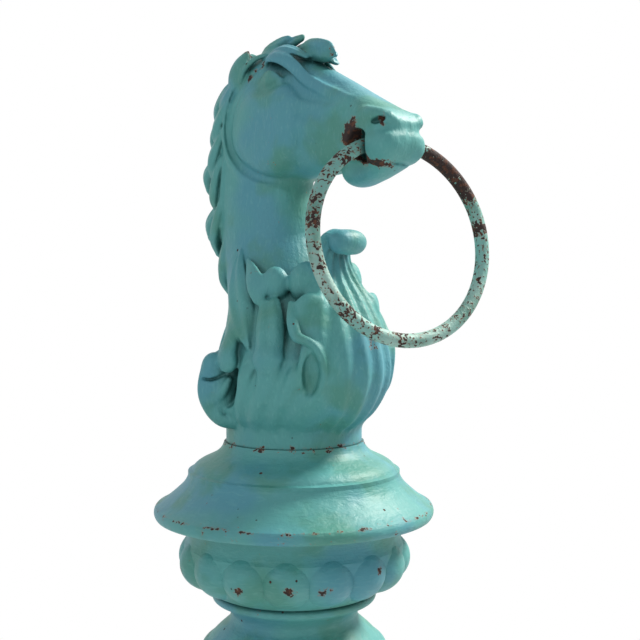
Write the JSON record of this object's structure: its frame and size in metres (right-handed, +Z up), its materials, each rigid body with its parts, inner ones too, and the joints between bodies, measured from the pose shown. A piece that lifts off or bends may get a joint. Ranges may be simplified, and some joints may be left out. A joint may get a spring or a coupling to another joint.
{
  "type": "hitching post",
  "caption": "Cast iron hitching post: a horse head with a tie ring through its mouth, on a stepped cap, a lobed capital and a fluted column with an octagonal foot.",
  "frame": {"origin": "centre of the foot's underside, on the ground", "axes": "+Z up, the horse faces -Y, the horse's right side is -X"},
  "size_m": [0.28, 0.28, 1.1216],
  "materials": {
    "head_paint": "thick brushed turquoise paint over cast iron, chipped to rust round the mouth",
    "cap_paint": "thick turquoise paint, rusty and speckled along the rim",
    "capital_paint": "thick turquoise paint with small rust spots on the lobes",
    "shaft_paint": "thick turquoise paint over cast iron",
    "base_paint": "thick turquoise paint, chipped at the foot's edges",
    "bare_bar": "rusty bare iron inside the foot",
    "rod_steel": "rusty steel",
    "ring_paint": "pale paint heavily chipped to dark rust"
  },
  "bodies": {
    "post": {"horse_head": "head_paint", "stepped_cap": "cap_paint", "gadroon_capital": "capital_paint", "fluted_shaft": "shaft_paint", "moulded_base": "base_paint", "base_bridge_bar": "bare_bar", "tie_rod": "rod_steel", "tie_rod_washer": "rod_steel", "tie_rod_nut": "rod_steel", "locating_pins": "rod_steel"},
    "ring": {"mouth_ring": "ring_paint"}
  },
  "joints": [
    {"name": "ring_swing", "type": "hinge", "parent": "post", "child": "ring", "pos_m": [0.00281, -0.08676, 1.03273], "axis": [0.9643, -0.2613, 0.0438], "range_deg": [-205, 12]}
  ]
}
